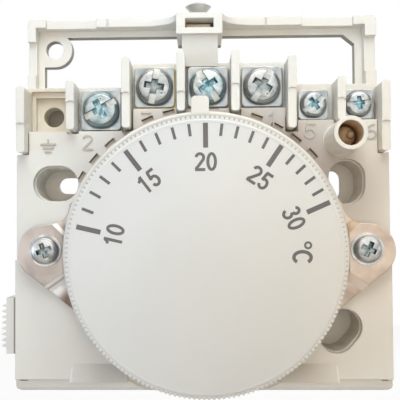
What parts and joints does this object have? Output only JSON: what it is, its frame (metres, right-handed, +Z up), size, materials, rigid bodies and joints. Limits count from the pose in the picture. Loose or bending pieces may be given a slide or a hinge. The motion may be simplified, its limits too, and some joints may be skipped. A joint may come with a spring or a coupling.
{
  "type": "room thermostat",
  "caption": "Wall-mounted room temperature control with its cover off: serrated dial over a sensing plate, screw terminals between barriers, open wiring frame, side switch, lamp tube.",
  "frame": {"origin": "centre of the face that lies on the wall, on the vertical centre line of the body and 42.1 mm above its bottom edge", "axes": "+Z up, +X to the right for someone who looks at the front, -Y out of the wall towards that person"},
  "size_m": [0.0869, 0.038, 0.0876],
  "materials": {
    "ivory_plastic": "moulded, fine matt",
    "white_plastic": "moulded, fine matt",
    "zinc_plate": "blue passivated zinc",
    "nickel_steel": "nickel plated",
    "tan_steel": "passivated sheet",
    "brass": "bare",
    "spring_bronze": "bare spring strip",
    "capsule_steel": "rolled",
    "lamp_glass": "clear with orange glow",
    "resistor_body": "lacquered",
    "pin_plastic": "moulded"
  },
  "bodies": {
    "chassis": {"rear_base": "ivory_plastic", "front_panel": "ivory_plastic", "sensor_bracket": "tan_steel", "bracket_screw_left": "nickel_steel", "bracket_screw_right": "nickel_steel", "bracket_washer_left": "nickel_steel", "bracket_washer_right": "nickel_steel", "stop_ring": "white_plastic", "threaded_bush": "brass", "blade_anchor": "brass", "contact_front": "brass", "contact_rear": "brass", "anticipator_resistor": "resistor_body", "neon_lamp": "lamp_glass", "neon_resistor": "resistor_body", "slide_contact_upper": "brass", "slide_contact_lower": "brass", "cover_screw": "nickel_steel", "cover_nut": "brass", "terminal_strip_1": "brass", "terminal_strip_2": "brass", "terminal_strip_3": "brass", "terminal_strip_4": "brass", "terminal_strip_5": "brass", "terminal_strip_6": "brass"},
    "dial": {"dial": "white_plastic", "dial_spindle": "brass"},
    "capsule": {"vapour_capsule": "capsule_steel", "push_pin": "pin_plastic"},
    "snap_blade": {"snap_blade": "spring_bronze"},
    "side_switch": {"slide_knob": "ivory_plastic", "slide_bridge": "spring_bronze"},
    "clamp_1": {"clamp_plate_1": "zinc_plate"},
    "screw_1": {"terminal_screw_1": "zinc_plate"},
    "clamp_2": {"clamp_plate_2": "zinc_plate"},
    "screw_2": {"terminal_screw_2": "zinc_plate"},
    "clamp_3": {"clamp_plate_3": "zinc_plate"},
    "screw_3": {"terminal_screw_3": "zinc_plate"},
    "clamp_4": {"clamp_plate_4": "zinc_plate"},
    "screw_4": {"terminal_screw_4": "zinc_plate"},
    "clamp_5": {"clamp_plate_5": "zinc_plate"},
    "screw_5": {"terminal_screw_5": "zinc_plate"},
    "clamp_6": {"clamp_plate_6": "zinc_plate"},
    "screw_6": {"terminal_screw_6": "zinc_plate"}
  },
  "joints": [
    {"name": "dial_turn", "type": "hinge", "parent": "chassis", "child": "dial", "pos_m": [0.00065, -0.03, -0.01195], "axis": [0, -1, 0], "range_deg": [-76, 66]},
    {"name": "capsule_travel", "type": "slide", "parent": "chassis", "child": "capsule", "axis": [0, -1, 0], "range_m": [-0.00032, 0.00028]},
    {"name": "blade_flex", "type": "hinge", "parent": "chassis", "child": "snap_blade", "pos_m": [0.00065, -0.0044, -0.02995], "axis": [1, 0, 0], "range_deg": [-1.02, 0.9]},
    {"name": "side_switch_slide", "type": "slide", "parent": "chassis", "child": "side_switch", "axis": [0, 0, 1], "range_m": [-0.004, 0]},
    {"name": "clamp_lift_1", "type": "slide", "parent": "chassis", "child": "clamp_1", "axis": [0, -1, 0], "range_m": [0, 0.0021]},
    {"name": "screw_turn_1", "type": "hinge", "parent": "clamp_1", "child": "screw_1", "pos_m": [0.01345, -0.0132, 0.025], "axis": [0, -1, 0], "range_deg": [0, 1080]},
    {"name": "clamp_lift_2", "type": "slide", "parent": "chassis", "child": "clamp_2", "axis": [0, -1, 0], "range_m": [0, 0.0021]},
    {"name": "screw_turn_2", "type": "hinge", "parent": "clamp_2", "child": "screw_2", "pos_m": [-0.02245, -0.0132, 0.02], "axis": [0, -1, 0], "range_deg": [0, 1080]},
    {"name": "clamp_lift_3", "type": "slide", "parent": "chassis", "child": "clamp_3", "axis": [0, -1, 0], "range_m": [0, 0.0021]},
    {"name": "screw_turn_3", "type": "hinge", "parent": "clamp_3", "child": "screw_3", "pos_m": [-0.01043, -0.0132, 0.025], "axis": [0, -1, 0], "range_deg": [0, 1080]},
    {"name": "clamp_lift_4", "type": "slide", "parent": "chassis", "child": "clamp_4", "axis": [0, -1, 0], "range_m": [0, 0.0021]},
    {"name": "screw_turn_4", "type": "hinge", "parent": "clamp_4", "child": "screw_4", "pos_m": [0.00145, -0.0132, 0.025], "axis": [0, -1, 0], "range_deg": [0, 1080]},
    {"name": "clamp_lift_5", "type": "slide", "parent": "chassis", "child": "clamp_5", "axis": [0, -1, 0], "range_m": [0, 0.0015]},
    {"name": "screw_turn_5", "type": "hinge", "parent": "clamp_5", "child": "screw_5", "pos_m": [0.0248, -0.0132, 0.0208], "axis": [0, -1, 0], "range_deg": [0, 1080]},
    {"name": "clamp_lift_6", "type": "slide", "parent": "chassis", "child": "clamp_6", "axis": [0, -1, 0], "range_m": [0, 0.0015]},
    {"name": "screw_turn_6", "type": "hinge", "parent": "clamp_6", "child": "screw_6", "pos_m": [0.0347, -0.0132, 0.02085], "axis": [0, -1, 0], "range_deg": [0, 1080]}
  ],
  "couplings": [
    {"joint": "capsule_travel", "follows": "dial_turn", "m_per_rad": 0.00023873},
    {"joint": "blade_flex", "follows": "dial_turn", "ratio": 0.013263},
    {"joint": "screw_turn_1", "follows": "clamp_lift_1", "rad_per_m": 8976},
    {"joint": "screw_turn_2", "follows": "clamp_lift_2", "rad_per_m": 8976},
    {"joint": "screw_turn_3", "follows": "clamp_lift_3", "rad_per_m": 8976},
    {"joint": "screw_turn_4", "follows": "clamp_lift_4", "rad_per_m": 8976},
    {"joint": "screw_turn_5", "follows": "clamp_lift_5", "rad_per_m": 12566},
    {"joint": "screw_turn_6", "follows": "clamp_lift_6", "rad_per_m": 12566}
  ]
}
